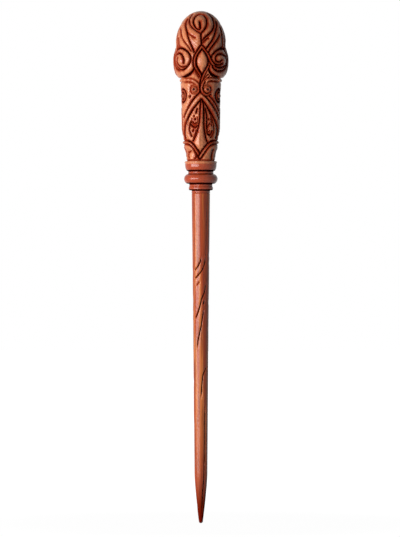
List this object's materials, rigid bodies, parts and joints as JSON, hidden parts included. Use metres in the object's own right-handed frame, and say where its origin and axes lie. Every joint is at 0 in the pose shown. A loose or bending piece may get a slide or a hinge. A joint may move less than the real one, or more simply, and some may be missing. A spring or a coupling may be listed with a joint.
{
  "type": "magic wand",
  "caption": "Carved wooden magic wand: scroll-carved head and grip, turned bead collar and a tapered, twisted shaft with a blunt point.",
  "frame": {"origin": "on the wand's axis, in the flat underside of the collar's lowest bead, where the wand seats in the hole of a stand", "axes": "+Z runs along the wand from the tip up to the head, so the wand hangs tip down; the carving's front faces -Y, and +X is to the right seen from the front"},
  "size_m": [0.0358, 0.0356, 0.33],
  "materials": {
    "carved_wood": "carved, oiled and varnished, with dark stain left in the cuts",
    "turned_wood": "turned and varnished",
    "shaft_wood": "turned, carved with a twist, and varnished",
    "peg_wood": "polished",
    "dowel_wood": "bare beech",
    "pin_steel": "ground rod"
  },
  "bodies": {
    "root": {"shaft": "shaft_wood", "core_pin": "pin_steel", "neck_ring": "turned_wood", "small_bead": "turned_wood", "lower_spacer": "turned_wood", "large_bead": "turned_wood", "upper_spacer": "turned_wood", "collar_cup": "turned_wood", "grip": "carved_wood", "head": "carved_wood", "head_dowel": "dowel_wood", "eye_pegs": "peg_wood", "side_pegs": "peg_wood"}
  },
  "joints": []
}
